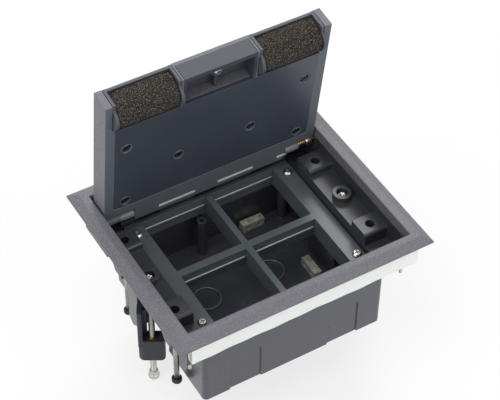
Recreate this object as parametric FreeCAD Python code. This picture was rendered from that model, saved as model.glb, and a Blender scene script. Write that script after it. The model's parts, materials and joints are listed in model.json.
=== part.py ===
import FreeCAD, Part
import math
import os

# Floor socket box for four 45 mm modules, lid standing open.
# Frame: z = 0 is the finished floor, under the edge of the trim flange. The origin is the
# centre of the floor cut-out. +X runs along the hinge, +Y points to the hinge side, +Z is up.

V = FreeCAD.Vector
UP = V(0, 0, 1)

# ---------------------------------------------------------------- driving dimensions (mm)
flange_length = 170.0
flange_width = 141.0
flange_height = 4.0
flange_edge = 1.0
flange_bevel_run = 5.5
opening_length = 149.0
opening_width = 121.5
wall = 2.0
skirt_depth = 4.0

module_size = 45.0
module_bar_x = 3.9
module_bar_y = 4.9
module_shift_y = 1.0
plate_top = -23.0
plate_thickness = 2.5
plate_half_length = 58.0
plate_front = -55.5
plate_back = 51.3
collar_depth = 14.0
collar_wall = 1.8
snap_lip = 0.8
snap_drop = 6.0
plate_screw_spacing_x = 106.7
plate_screw_spacing_y = 79.8

box_length = 124.4
box_width = 112.0
box_top = -28.0
box_bottom = -72.0
box_corner = 3.0

channel_inner = 58.8
channel_floor = -15.5
channel_thickness = 3.0
block_top = -10.5
block_length = 15.0
block_drop = -37.0
front_floor = -19.7
rear_floor = -24.0
rear_wall = 63.0

side_screw_x = 67.1
side_screw_y = 31.0

hinge_y = 47.0
hinge_drop = 7.7
hinge_barrel_radius = 3.1
hinge_pin_radius = 1.6
hinge_inner = 53.0
hinge_window_start = 63.0
hinge_window_end = 68.5
lid_open_angle = 82.5
lid_gap = 0.75
lid_side_gap = 1.2
lid_rear_edge = 58.25
lid_thickness = 14.0
lid_skin = 2.4
lid_border = 6.0
panel_thickness = 2.4
panel_start = 11.5
panel_end = 85.0

outlet_inner = 25.5
outlet_outer = 68.5
outlet_pivot_back = 12.0
outlet_pivot_drop = 10.7
outlet_roll_radius = 8.0
outlet_bar = 2.3
outlet_arm = 1.8
outlet_pin_radius = 1.0

clamp_thread = 2.0
clamp_head_radius = 3.3
clamp_boss_radius = 6.0
clamp_boss_top = -11.0
clamp_seat = -16.0
clamp_end = -104.0
claw_bottom = -86.0
claw_foot_height = 18.0
claw_spine_top = -42.0
claw_rest_angle = 150.0
claw_half_width = 4.5
claw_reach = 8.5
claw_tail = 8.0
claw_tail_corner = 3.0
claw_spine = 3.0
clamp_pocket_depth = 6.2
clamp_pocket_half = 12.5
stop_rib_start = 8.5
stop_rib_length = 12.0
stop_rib_reach = 9.6

level_thread = 1.75
level_head_radius = 2.7
level_head_top = -22.0
level_foot_bottom = -77.0
level_foot_radius = 3.2
level_foot_height = 3.6

strip_half_length = 76.0
strip_depth = 5.2
strip_depth_rear = 3.0
strip_bottom = -15.0
strip_wall = 1.0

box_screw_x = 55.5
box_screw_y = 49.5
corner_screw_x = 72.5
corner_screw_y = -58.2
corner_boss_top = -12.5
corner_screw_end = -31.0

fit = 0.08          # radial clearance of a turning or sliding fit
gap = 0.3           # clearance between pieces that pass each other

# ---------------------------------------------------------------- derived positions
hinge_z = -hinge_drop
lid_top = flange_height
lid_bottom = lid_top - lid_thickness
half_open_x = opening_length / 2
half_open_y = opening_width / 2
lid_half = half_open_x - lid_side_gap
lid_front = -half_open_y + lid_gap
shell_half = half_open_x + wall
shell_front = -half_open_y - wall
shell_back = rear_wall + wall
shell_top = -skirt_depth
box_half_x = box_length / 2
box_half_y = box_width / 2
channel_bottom = channel_floor - channel_thickness
front_bottom = front_floor - wall
rear_bottom = rear_floor - wall
plate_bottom = plate_top - plate_thickness
outlet_pivot_y = lid_front + outlet_pivot_back
outlet_pivot_z = lid_top - outlet_pivot_drop
collar_half_x = module_size + module_bar_x / 2 + collar_wall
collar_half_y = module_size + module_bar_y / 2 + collar_wall
block_front = -side_screw_y - block_length / 2
block_back = side_screw_y + block_length / 2


# ---------------------------------------------------------------- building helpers
def block(x0, x1, y0, y1, z0, z1):
    return Part.makeBox(x1 - x0, y1 - y0, z1 - z0, V(x0, y0, z0))


def cylinder(x, y, z0, z1, radius):
    return Part.makeCylinder(radius, z1 - z0, V(x, y, z0))


def bar_x(x0, x1, y, z, radius):
    return Part.makeCylinder(radius, x1 - x0, V(x0, y, z), V(1, 0, 0))


def fuse(shapes):
    joined = shapes[0].multiFuse(shapes[1:]) if len(shapes) > 1 else shapes[0]
    return joined.removeSplitter()


def turned(profile):
    """Revolve a closed outline of (radius, height) points round Z."""
    points = [V(r, 0, z) for r, z in profile]
    face = Part.Face(Part.makePolygon(points + [points[0]]))
    return face.revolve(V(0, 0, 0), UP, 360)


def outline_x(points, x0, x1):
    """Extrude a closed outline of (y, z) points along X."""
    corners = [V(x0, y, z) for y, z in points]
    face = Part.Face(Part.makePolygon(corners + [corners[0]]))
    return face.extrude(V(x1 - x0, 0, 0))


def edges_along(shape, direction, keep=lambda centre: True):
    """Straight edges parallel to a direction whose centre passes the test."""
    found = []
    for edge in shape.Edges:
        if edge.Curve.TypeId != "Part::GeomLine":
            continue
        run = edge.Vertexes[-1].Point.sub(edge.Vertexes[0].Point)
        if run.Length > 1e-6 and run.cross(direction).Length < 1e-6 * run.Length:
            if keep(edge.CenterOfMass):
                found.append(edge)
    return found


def rounded_block(x0, x1, y0, y1, z0, z1, radius):
    shape = block(x0, x1, y0, y1, z0, z1)
    return shape.makeFillet(radius, edges_along(shape, UP))


def both_sides(shape):
    """The shape and its mirror image across the YZ plane."""
    return [shape, shape.mirror(V(0, 0, 0), V(1, 0, 0))]


def half_turn(shape):
    copy = shape.copy()
    copy.rotate(V(0, 0, 0), UP, 180)
    return copy


def moved(shape, x, y, z):
    copy = shape.copy()
    copy.translate(V(x, y, z))
    return copy


def opened(shape):
    """Turn a piece modelled on the closed lid to the lid's rest angle."""
    copy = shape.copy()
    copy.rotate(V(0, hinge_y, hinge_z), V(1, 0, 0), -lid_open_angle)
    return copy


def cross_screw(shank_radius, length, head_radius, head_height, countersunk=False):
    """A screw along -Z with its head's top at z = 0 and a cross recess."""
    if countersunk:
        profile = [(0, 0), (head_radius, 0), (shank_radius, -head_height)]
    else:
        shoulder = head_height * 0.55
        profile = [(0, 0), (head_radius * 0.7, 0), (head_radius, -shoulder), (head_radius, -head_height),
                   (shank_radius, -head_height)]
    profile += [(shank_radius, -length), (0, -length)]
    screw = turned(profile)
    arm = head_radius * 0.55
    slot = head_radius * 0.13
    depth = head_height * 0.6
    cross = fuse([block(-arm, arm, -slot, slot, -depth, 1), block(-slot, slot, -arm, arm, -depth, 1)])
    return screw.cut(cross)


def write(name, shapes):
    """Write one node. A list becomes a group of separate solids."""
    shape = shapes if not isinstance(shapes, list) else Part.makeCompound(shapes)
    if not shape.isValid():
        print("not valid:", name)
    shape.exportStep("parts/" + name + ".step")


def plate_screw_places():
    return [(sx * plate_screw_spacing_x / 2, module_shift_y + sy * plate_screw_spacing_y / 2)
            for sx in (-1, 1) for sy in (-1, 1)]


def box_screw_places():
    return [(sx * box_screw_x, sy * box_screw_y) for sx in (-1, 1) for sy in (-1, 1)]


# ---------------------------------------------------------------- fixed frame
def trim_flange():
    """Die-cast floor trim: a flat band, a soft bevel to a thin edge and a skirt inside."""
    half_x = flange_length / 2
    half_y = flange_width / 2
    ring = block(-half_x, half_x, -half_y, half_y, 0, flange_height)
    rim = [e for e in edges_along(ring, V(1, 0, 0)) + edges_along(ring, V(0, 1, 0))
           if e.CenterOfMass.z > flange_height / 2]
    ring = ring.makeChamfer(flange_height - flange_edge, flange_bevel_run, rim)
    if ring.BoundBox.ZMax < flange_height - 1e-6:
        raise ValueError("the bevel has eaten the flange's top")
    skirt = block(-shell_half, shell_half, shell_front, shell_back, -skirt_depth, flange_height / 2)
    hollow = block(-half_x + 2, half_x - 2, -half_y + 2, half_y - 2, -1, flange_height - 2.4)
    land = block(-shell_half, shell_half, shell_front, shell_back, -1, flange_height)
    ring = ring.cut(hollow.cut(land))
    opening = block(-half_open_x, half_open_x, -half_open_y, half_open_y, -20, 20)
    lid_swing = block(-half_open_x, half_open_x, 0, rear_wall, -20, 0)
    return fuse([ring, skirt]).cut(fuse([opening, lid_swing]))


def side_sleeve(y):
    """A raised block that guides a levelling screw beside the box wall."""
    y0 = y - block_length / 2
    y1 = y + block_length / 2
    top = block(channel_inner, half_open_x, y0, y1, channel_bottom, block_top)
    nose = [e for e in edges_along(top, V(1, 0, 0)) if e.CenterOfMass.z > block_top - 1e-6
            and e.CenterOfMass.y < y]
    top = top.makeFillet(2.0, nose)
    slope = outline_x([(y0 + 2, channel_bottom + 1), (y1 - 2, channel_bottom + 1), (y1 - 2, block_drop + 4),
                       (y1 - 5, block_drop), (y0 + 2, block_drop)], box_half_x, side_screw_x + 6)
    return fuse([top, slope])


def side_sleeve_bore(y):
    head = cylinder(side_screw_x, y, block_drop + 3.5, block_top + 1, level_head_radius + gap)
    thread = cylinder(side_screw_x, y, block_drop - 1, block_drop + 4, level_thread + fit)
    return fuse([head, thread])


def housing():
    """Moulded upper housing: side channels, screw blocks, hinge seats and the plate's ledge."""
    middle = block(-shell_half, shell_half, shell_front, shell_back, channel_bottom, shell_top)
    front = block(-shell_half, shell_half, shell_front, block_front + wall, front_bottom, channel_bottom)
    rear = block(-shell_half, shell_half, block_back - wall, shell_back, rear_bottom, channel_bottom)
    collar = block(-box_half_x, box_half_x, -box_half_y, box_half_y, box_top, channel_bottom)
    body = fuse([middle, front, rear, collar])
    inner_front = -half_open_y - 0.25
    well = [block(-half_open_x, half_open_x, inner_front, rear_wall, channel_floor, 1),
            block(-half_open_x, half_open_x, inner_front, block_front, front_floor, 1),
            block(-half_open_x, half_open_x, block_back, rear_wall, rear_floor, 1),
            block(-channel_inner, channel_inner, plate_front - gap, rear_wall, rear_floor, 1),
            block(-channel_inner, channel_inner, plate_front - gap, plate_back + gap, plate_bottom, 1),
            block(-collar_half_x - gap, collar_half_x + gap, module_shift_y - collar_half_y - gap,
                  module_shift_y + collar_half_y + gap, box_top - 1, 1)]
    body = body.cut(fuse(well))
    extras = []
    for y in (-side_screw_y, side_screw_y):
        extras += both_sides(side_sleeve(y))
    boss = fuse([cylinder(side_screw_x, 0, channel_bottom, clamp_boss_top, clamp_boss_radius),
                 cylinder(side_screw_x, 0, channel_bottom - 5.5, channel_bottom + 1, clamp_boss_radius - 1.5)])
    extras += both_sides(boss)
    for x0, x1 in ((8.0, 33.0), (49.0, 58.8)):
        extras += both_sides(block(x0, x1, plate_back + 0.7, plate_back + 3.7, rear_floor, rear_floor + 4))
    for x, y in plate_screw_places():
        extras.append(cylinder(x, y, box_top - 12, box_top, 3.6))
    extras += both_sides(cylinder(corner_screw_x, corner_screw_y, front_bottom, corner_boss_top, 2.6)
                         .common(block(0, shell_half, shell_front, 0, -60, 0)))
    extras += both_sides(block(half_open_x - 0.2, shell_half + 1.2, hinge_y - 4.5, hinge_y + 4.5, hinge_z - 4.5,
                               shell_top))
    body = fuse([body] + extras)
    bores = []
    for y in (-side_screw_y, side_screw_y):
        bores += both_sides(side_sleeve_bore(y))
    bores += both_sides(fuse([cylinder(side_screw_x, 0, clamp_seat, 0, clamp_head_radius + gap),
                              cylinder(side_screw_x, 0, -60, 0, clamp_thread + fit)]))
    for x, y in plate_screw_places():
        bores.append(cylinder(x, y, box_top - 11, 0, 1.35))
    for x, y in box_screw_places():
        bores.append(cylinder(x, y, box_top - 1, 0, 1.3))
        bores.append(Part.makeCone(1.3, 2.5, 1.3, V(x, y, plate_bottom - 1.3), UP))
    bores += both_sides(cylinder(corner_screw_x, corner_screw_y, front_bottom - 1, 0, 1.0))
    bores += both_sides(bar_x(half_open_x - 1, shell_half + 0.4, hinge_y, hinge_z, hinge_pin_radius + fit))
    return body.cut(fuse(bores))


def knockout(x, y_face, direction):
    """A thin rounded break-out panel pressed into a box wall, open to the bottom edge."""
    width = 21.4
    height = 30.0
    depth = 0.9
    y0 = min(y_face, y_face + direction * depth)
    panel = block(x - width / 2, x + width / 2, y0, y0 + depth, box_bottom - 1, box_bottom + height)
    top = [e for e in edges_along(panel, V(0, 1, 0)) if e.CenterOfMass.z > box_bottom + height - 1]
    return panel.makeFillet(5.0, top)


def back_box():
    """Lower wiring box with claw pockets, stop ribs, knockouts and a ringed floor."""
    outer = rounded_block(-box_half_x, box_half_x, -box_half_y, box_half_y, box_bottom, box_top, box_corner)
    inner = rounded_block(-box_half_x + wall, box_half_x - wall, -box_half_y + wall, box_half_y - wall,
                          box_bottom + wall, box_top + 1, box_corner - 1)
    pocket = block(box_half_x - clamp_pocket_depth, box_half_x + 1, -clamp_pocket_half, clamp_pocket_half,
                   box_bottom - 1, box_top + 1)
    liner = block(box_half_x - clamp_pocket_depth - wall, box_half_x - 0.5, -clamp_pocket_half - wall,
                  clamp_pocket_half + wall, box_bottom, box_top)
    shell = outer.cut(inner)
    shell = fuse([shell] + both_sides(liner)).cut(fuse(both_sides(pocket)))
    rib = outline_x([(stop_rib_start, box_top), (stop_rib_start + stop_rib_length, box_top),
                     (stop_rib_start + stop_rib_length, box_bottom + 6), (stop_rib_start + 8, box_bottom + 2),
                     (stop_rib_start + 6.5, box_bottom + 2), (stop_rib_start, box_bottom + 7)],
                    -box_half_x - stop_rib_reach, -box_half_x + 0.5)
    rib_end = stop_rib_start + stop_rib_length
    rib = rib.cut(block(-box_half_x - stop_rib_reach + wall, -box_half_x - 0.2, stop_rib_start + wall,
                        rib_end - wall, box_bottom + 9, box_top + 1))
    rings = []
    for x, y in ((-23, 10), (23, 10), (-23, -28), (23, -28)):
        rings.append(cylinder(x, y, box_bottom + wall, box_bottom + wall + 1.2, 9.4)
                     .cut(cylinder(x, y, box_bottom, 0, 8.2)))
    posts = []
    for x, y in box_screw_places():
        posts.append(cylinder(x, y, box_bottom + wall, box_top, 3.5))
    posts.append(fuse([cylinder(-6, 46, box_bottom + wall, box_bottom + 32, 3.2),
                       block(-7, -5, 46, box_half_y - 1, box_bottom + wall, box_bottom + 32)])
                 .cut(cylinder(-6, 46, box_bottom + 20, 0, 1.3)))
    shell = fuse([shell, rib, half_turn(rib)] + rings + posts)
    cuts = [knockout(x, -box_half_y, 1) for x in (-34, 34)]
    cuts += [knockout(x, box_half_y, -1) for x in (-34, 34)]
    for x, y in box_screw_places():
        cuts.append(cylinder(x, y, box_top - 10, 0, 1.3))
    return shell.cut(fuse(cuts))


def module_plate():
    """Support plate with four module openings, each with a collar and two snap lips."""
    plate = rounded_block(-plate_half_length, plate_half_length, plate_front, plate_back,
                          plate_bottom, plate_top, 1.0)
    collar = block(-collar_half_x, collar_half_x, module_shift_y - collar_half_y,
                   module_shift_y + collar_half_y, plate_top - collar_depth, plate_bottom)
    plate = fuse([plate, collar])
    cuts = []
    for sx in (-1, 1):
        for sy in (-1, 1):
            x0 = sx * (module_bar_x + module_size) / 2 - module_size / 2
            y0 = module_shift_y + sy * (module_bar_y + module_size) / 2 - module_size / 2
            cuts.append(block(x0, x0 + module_size, y0, y0 + module_size, plate_top - snap_drop, 0))
            cuts.append(block(x0, x0 + module_size, y0 + snap_lip, y0 + module_size - snap_lip, -60, 0))
            cuts.append(block(x0, x0 + module_size, y0, y0 + module_size, -60, plate_top - snap_drop - 2))
    for x, y in plate_screw_places():
        cuts.append(cylinder(x, y, -40, 0, 1.9))
    return plate.cut(fuse(cuts))


def seal_strip(front):
    """Hollow foam profile that closes the gap between the flange and the floor edge."""
    depth = strip_depth if front else strip_depth_rear
    y0 = shell_front - gap - strip_depth if front else shell_back + gap
    profile = block(-strip_half_length, strip_half_length, y0, y0 + depth, strip_bottom,
                    flange_height - 2.4 - gap)
    hollow = block(-strip_half_length - 1, strip_half_length + 1, y0 + strip_wall,
                   y0 + depth - strip_wall, strip_bottom + strip_wall, strip_bottom + 9)
    return profile.cut(hollow)


def earth_terminal(x, y, along_x):
    """Brass bar with two clamp screws, standing on the floor of the box."""
    bar = block(-8, 8, -2.6, 2.6, 0, 6)
    for sx in (-4, 4):
        hole = Part.makeCylinder(1.4, 10, V(sx, -5, 2.4), V(0, 1, 0))
        bar = bar.cut(hole)
    heads = [moved(cross_screw(1.3, 3.0, 2.0, 1.6), sx, 0, 7.6) for sx in (-4, 4)]
    bar = fuse([bar] + heads)
    if not along_x:
        bar.rotate(V(0, 0, 0), UP, 90)
    return moved(bar, x, y, box_bottom + wall)


# ---------------------------------------------------------------- lid
def lid_cover():
    """Cast lid shell: skin, three rims, a rear border with hinge barrels, outlet notches."""
    skin = block(-lid_half, lid_half, lid_front, lid_rear_edge, lid_top - lid_skin, lid_top)
    lip = [e for e in edges_along(skin, V(1, 0, 0)) if e.CenterOfMass.y > 0 and e.CenterOfMass.z > lid_top - 0.1]
    skin = skin.makeFillet(lid_skin - 0.1, lip)
    rims = both_sides(block(lid_half - lid_border, lid_half, lid_front, hinge_y - 4.5, lid_bottom, lid_top - 0.5))
    border = block(-hinge_inner + 0.5, hinge_inner - 0.5, hinge_y - panel_start, hinge_y + 6, lid_bottom,
                   lid_top - 0.5)
    border_sides = block(-lid_half, lid_half, hinge_y - panel_start, hinge_y - 4.5, lid_bottom, lid_top - 0.5)
    bed = block(-lid_half + 1, lid_half - 1, hinge_y - panel_end, hinge_y - panel_start + 1,
                lid_bottom + panel_thickness, lid_top - 0.5)
    ribs = both_sides(block(outlet_inner - 1.5, outlet_inner - 0.4, lid_front, hinge_y - panel_end,
                            lid_bottom, lid_top - 0.5))
    ends = both_sides(block(outlet_outer + 0.4, lid_half, lid_front, hinge_y - panel_end, lid_bottom,
                            lid_top - 0.5))
    body = fuse([skin, border, border_sides, bed] + rims + ribs + ends)
    cells = []
    for row in range(3):
        for column in range(4):
            x0 = -lid_half + 7.5 + column * 33.0
            y0 = hinge_y - panel_end + 5.0 + row * 22.5
            cells.append(block(x0, x0 + 31.5, y0, y0 + 21.0, lid_bottom + panel_thickness, lid_top - lid_skin))
    barrels = []
    for x0, x1 in ((-lid_half + 0.8, -hinge_inner), (hinge_inner, hinge_window_start),
                   (hinge_window_end, lid_half - 0.8)):
        barrels.append(bar_x(x0, x1, hinge_y, hinge_z, hinge_barrel_radius))
        barrels.append(block(x0, x1, hinge_y - 1.4, hinge_y + 1.4, hinge_z, lid_top - 0.5))
    body = body.cut(fuse(cells))
    body = fuse([body] + barrels)
    notch_back = outlet_pivot_y + outlet_roll_radius + 1.0
    cuts = both_sides(block(outlet_inner - 0.4, outlet_outer + 0.4, lid_front - 1, lid_front + 10.5,
                            lid_bottom - 1, lid_top + 1))
    cuts += both_sides(block(outlet_inner - 0.4, outlet_outer + 0.4, lid_front - 1, notch_back, lid_bottom - 1,
                             lid_top - lid_skin))
    cuts += both_sides(bar_x(outlet_inner - 5, outlet_outer + 3.5, outlet_pivot_y, outlet_pivot_z,
                             outlet_pin_radius))
    cuts += both_sides(bar_x(hinge_inner + 2.4, lid_half + 1, hinge_y, hinge_z, hinge_pin_radius))
    for x, y in panel_screw_places():
        cuts.append(cylinder(x, y, lid_bottom, lid_top - lid_skin - 0.6, 1.3))
    return body.cut(fuse(cuts))


def panel_screw_places():
    """Six lid panel screws: two rows near the sides and a pair in the middle."""
    places = []
    for x, along in ((59.5, 66.0), (24.5, 41.0), (59.5, 17.0)):
        places += [(-x, hinge_y - along), (x, hinge_y - along)]
    return places


def lid_inner_panel():
    """Dark moulded panel that closes the inside of the lid, with dished screw seats."""
    half = lid_half - lid_border + 0.2
    y0 = hinge_y - panel_end
    y1 = hinge_y - panel_start
    face = block(-half + gap, half - gap, y0, y1 - gap, lid_bottom, lid_bottom + panel_thickness)
    face = face.makeFillet(6.0, edges_along(face, UP, lambda c: c.y > 0))
    cuts = []
    for x, y in panel_screw_places():
        cuts.append(cylinder(x, y, lid_bottom - 1, lid_bottom + 5, 1.5))
        cuts.append(cylinder(x, y, lid_bottom - 1, lid_bottom + 1.8, 2.9))
        cuts.append(Part.makeCone(4.2, 2.9, 1.0, V(x, y, lid_bottom - 0.01), UP))
    return face.cut(fuse(cuts))


def lid_panel_screws():
    screw = cross_screw(1.3, 8.5, 2.6, 1.4)
    screw.rotate(V(0, 0, 0), V(1, 0, 0), 180)
    return [opened(moved(screw, x, y, lid_bottom + 0.4)) for x, y in panel_screw_places()]


def grip_block():
    """Moulded grip between the cable outlets: an edge wall on a foot with a rib and boss."""
    half = outlet_inner - 1.5 - gap
    back = hinge_y - panel_end
    wall_front = block(-half, half, lid_front, lid_front + 3.0, lid_bottom, lid_top - lid_skin)
    foot = block(-half, half, lid_front, back - gap, lid_top - lid_skin - 2.2, lid_top - lid_skin)
    boss = cylinder(0, hinge_y - 99.0, lid_bottom + 4.0, lid_top - lid_skin, 4.2)
    rib = block(-0.9, 0.9, hinge_y - 99.0, back - gap, lid_bottom + 5.0, lid_top - lid_skin)
    ends = both_sides(block(half - 1.4, half, lid_front, back - gap, lid_bottom, lid_top - lid_skin))
    body = fuse([wall_front, foot, boss, rib] + ends)
    return body.cut(cylinder(0, hinge_y - 99.0, lid_bottom, lid_top - lid_skin, 1.4))


def hinge_pin(left):
    """Brass pin that carries the lid in the housing wall, with a ridged thumb collar."""
    pin = bar_x(hinge_inner + 2.4, shell_half + 0.2, hinge_y, hinge_z, hinge_pin_radius)
    if not left:
        collar = []
        steps = 4
        pitch = (hinge_window_end - hinge_window_start - 0.6) / steps
        for index in range(steps):
            x0 = hinge_window_start + 0.3 + index * pitch
            collar.append(bar_x(x0, x0 + pitch * 0.65, hinge_y, hinge_z, hinge_barrel_radius - 0.5))
        return fuse([pin] + collar)
    return pin.mirror(V(0, 0, 0), V(1, 0, 0))


def outlet_flap(side):
    """Cable outlet flap: an edge bar with two arms that swing on pins."""
    x0 = outlet_inner
    x1 = outlet_outer
    y = outlet_pivot_y
    z = outlet_pivot_z
    bar = block(x0, x1, lid_front, lid_front + 10.0, lid_top - outlet_bar, lid_top)
    edge = edges_along(bar, V(1, 0, 0), lambda c: c.y < lid_front + 1 and c.z > lid_top - 0.1)
    bar = bar.makeFillet(0.8, edge)
    arms = []
    for ax in (x0, x1 - outlet_arm):
        disc = bar_x(ax, ax + outlet_arm, y, z, outlet_roll_radius)
        link = block(ax, ax + outlet_arm, lid_front, lid_front + 9.8, lid_bottom + 0.4, lid_top - 0.2)
        arms.append(fuse([disc, link]))
    body = fuse([bar] + arms)
    body = body.cut(bar_x(x0 - 1, x1 + 1, y, z, outlet_pin_radius + fit))
    return body if side > 0 else body.mirror(V(0, 0, 0), V(1, 0, 0))


def outlet_foam(side):
    """Foam roll that closes the outlet round a cable."""
    x0 = outlet_inner + outlet_arm + gap
    x1 = outlet_outer - outlet_arm - gap
    y = outlet_pivot_y
    z = outlet_pivot_z
    roll = bar_x(x0, x1, y, z, outlet_roll_radius - 0.4)
    body = block(x0, x1, lid_front + 0.8, lid_front + 9.6, z - 3.0, lid_top - lid_skin - gap)
    body = body.makeFillet(5.0, edges_along(body, V(1, 0, 0), lambda c: c.y < y - 6 and c.z < z))
    foam = fuse([roll, body])
    return foam if side > 0 else foam.mirror(V(0, 0, 0), V(1, 0, 0))


def outlet_pins(side):
    """Short steel pins that carry a flap between the lid's ribs and end walls."""
    y = outlet_pivot_y
    z = outlet_pivot_z
    inner = bar_x(outlet_inner - 1.3, outlet_inner + outlet_arm, y, z, outlet_pin_radius)
    outer = bar_x(outlet_outer - outlet_arm, outlet_outer + 2.4, y, z, outlet_pin_radius)
    pins = [inner, outer]
    if side < 0:
        pins = [pin.mirror(V(0, 0, 0), V(1, 0, 0)) for pin in pins]
    return [opened(pin) for pin in pins]


# ---------------------------------------------------------------- clamps and levelling screws
def clamp_screw():
    screw = cross_screw(clamp_thread, clamp_seat + 2.6 - clamp_end, clamp_head_radius, 2.6)
    return moved(screw, 0, 0, clamp_seat + 2.6)


def clamp_end_nut():
    """Domed stop nut on the screw's tip that keeps the claw on the thread."""
    profile = [(clamp_thread, 0), (3.2, 0), (3.6, -0.6), (3.6, -1.6), (3.1, -2.0), (3.0, -4.2), (2.2, -6.0),
               (1.0, -6.7), (0, -6.8), (0, -3.4), (clamp_thread, -3.4)]
    return moved(turned(profile), 0, 0, clamp_end + 3.4)


def clamp_insert():
    """Brass threaded insert that lifts the claw when the screw turns."""
    foot_top = claw_bottom + claw_foot_height
    inner = clamp_thread + fit
    profile = [(inner, claw_bottom), (4.0, claw_bottom), (4.0, claw_bottom + 1.4), (3.0, claw_bottom + 1.4),
               (3.0, foot_top + 0.8), (inner, foot_top + 0.8)]
    return turned(profile)


def clamp_claw():
    """Hook-shaped claw: a thick foot round the screw and a tall spine that grips the floor."""
    foot_top = claw_bottom + claw_foot_height
    foot = block(-claw_tail, claw_reach, -claw_half_width, claw_half_width, claw_bottom, foot_top)
    outer_edges = edges_along(foot, UP, lambda c: c.x > 0)
    foot = foot.makeFillet(claw_half_width - 0.5, outer_edges)
    foot = foot.makeFillet(claw_tail_corner, edges_along(foot, UP, lambda c: c.x < 0.1 - claw_tail))
    spine = block(claw_reach - claw_spine, claw_reach, -claw_half_width, claw_half_width, foot_top - 6,
                  claw_spine_top)
    spine = spine.makeFillet(1.4, edges_along(spine, UP, lambda c: c.x > claw_reach - 0.1))
    cheek = outline_x([(-claw_half_width, foot_top - 1), (-claw_half_width + 2.0, foot_top - 1),
                       (-claw_half_width + 2.0, claw_spine_top - 4), (-claw_half_width, claw_spine_top - 4)],
                      claw_reach - claw_spine - 2.5, claw_reach - 1)
    claw = fuse([foot, spine, cheek])
    bore = fuse([cylinder(0, 0, claw_bottom - 1, claw_spine_top + 1, 3.0 + fit),
                 cylinder(0, 0, claw_bottom - 1, claw_bottom + 1.4 + gap, 4.0 + gap)])
    return claw.cut(bore)


def levelling_screw():
    top = level_head_top
    neck = level_foot_bottom + 1.2
    profile = [(0, top), (level_head_radius - 0.5, top), (level_head_radius, top - 0.5),
               (level_head_radius, top - 2.0), (level_thread, top - 2.0), (level_thread, neck + 3.0),
               (1.2, neck + 3.0), (1.2, neck + 1.4), (level_thread, neck + 1.2), (level_thread, neck + 0.3),
               (level_thread - 0.5, neck), (0, neck)]
    screw = turned(profile)
    slot = block(-level_head_radius, level_head_radius, -0.4, 0.4, top - 1.0, top + 1)
    return screw.cut(slot)


def levelling_foot():
    """Clip-on foot: a cup that swivels on the screw's end groove."""
    neck = level_foot_bottom + 1.2
    top = level_foot_bottom + level_foot_height
    profile = [(0, level_foot_bottom), (level_foot_radius - 0.5, level_foot_bottom),
               (level_foot_radius, level_foot_bottom + 0.6), (level_foot_radius, top - 0.8),
               (level_foot_radius - 0.8, top), (1.2 + fit, top), (1.2 + fit, neck + 1.6 + 0.1),
               (level_thread + fit, neck + 1.4), (level_thread + fit, neck - 0.1), (0, neck - 0.1)]
    return turned(profile)


# ---------------------------------------------------------------- write every node
def main():
    os.makedirs("parts", exist_ok=True)
    write("trim_flange", trim_flange())
    write("housing", housing())
    write("back_box", back_box())
    write("module_plate", module_plate())
    plate_screw = cross_screw(1.35, 12.0, 2.9, 1.9)
    write("plate_screws", [moved(plate_screw, x, y, plate_top + 1.9) for x, y in plate_screw_places()])
    box_screw = cross_screw(1.3, 9.0, 2.4, 1.2, countersunk=True)
    write("box_screws", [moved(box_screw, x, y, plate_bottom - 0.1) for x, y in box_screw_places()])
    corner_screw = cross_screw(1.0, corner_boss_top + 1.4 - corner_screw_end, 1.9, 1.4)
    write("corner_screws", both_sides(moved(corner_screw, corner_screw_x, corner_screw_y, corner_boss_top + 1.4)))
    write("seal_strip_front", seal_strip(True))
    write("seal_strip_rear", seal_strip(False))
    write("earth_terminal_rear", earth_terminal(33.0, 50.0, True))
    write("earth_terminal_side", earth_terminal(46.0, -2.0, False))

    write("lid_cover", opened(lid_cover()))
    write("lid_inner_panel", opened(lid_inner_panel()))
    write("lid_panel_screws", lid_panel_screws())
    write("grip_block", opened(grip_block()))
    grip_screw = cross_screw(1.4, 7.0, 2.6, 1.8)
    grip_screw.rotate(V(0, 0, 0), V(1, 0, 0), 180)
    write("grip_screw", opened(moved(grip_screw, 0, hinge_y - 99.0, lid_bottom + 2.2)))
    write("hinge_pin_left", opened(hinge_pin(True)))
    write("hinge_pin_right", opened(hinge_pin(False)))
    for name, side in (("left", -1), ("right", 1)):
        write("outlet_flap_" + name, opened(outlet_flap(side)))
        write("outlet_foam_" + name, opened(outlet_foam(side)))
        write("outlet_pins_" + name, outlet_pins(side))

    for name, x, angle in (("left", -side_screw_x, claw_rest_angle),
                           ("right", side_screw_x, claw_rest_angle - 180)):
        write("clamp_screw_" + name, moved(clamp_screw(), x, 0, 0))
        write("clamp_end_nut_" + name, moved(clamp_end_nut(), x, 0, 0))
        write("clamp_insert_" + name, moved(clamp_insert(), x, 0, 0))
        claw = clamp_claw()
        claw.rotate(V(0, 0, 0), UP, angle)
        write("clamp_claw_" + name, moved(claw, x, 0, 0))

    for name, x, y in (("front_left", -1, -1), ("front_right", 1, -1), ("rear_left", -1, 1), ("rear_right", 1, 1)):
        place = (x * side_screw_x, y * side_screw_y, 0)
        write("levelling_screw_" + name, moved(levelling_screw(), *place))
        write("levelling_foot_" + name, moved(levelling_foot(), *place))


main()
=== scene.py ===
import json
import math

import bpy
from mathutils import Matrix, Vector


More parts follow.
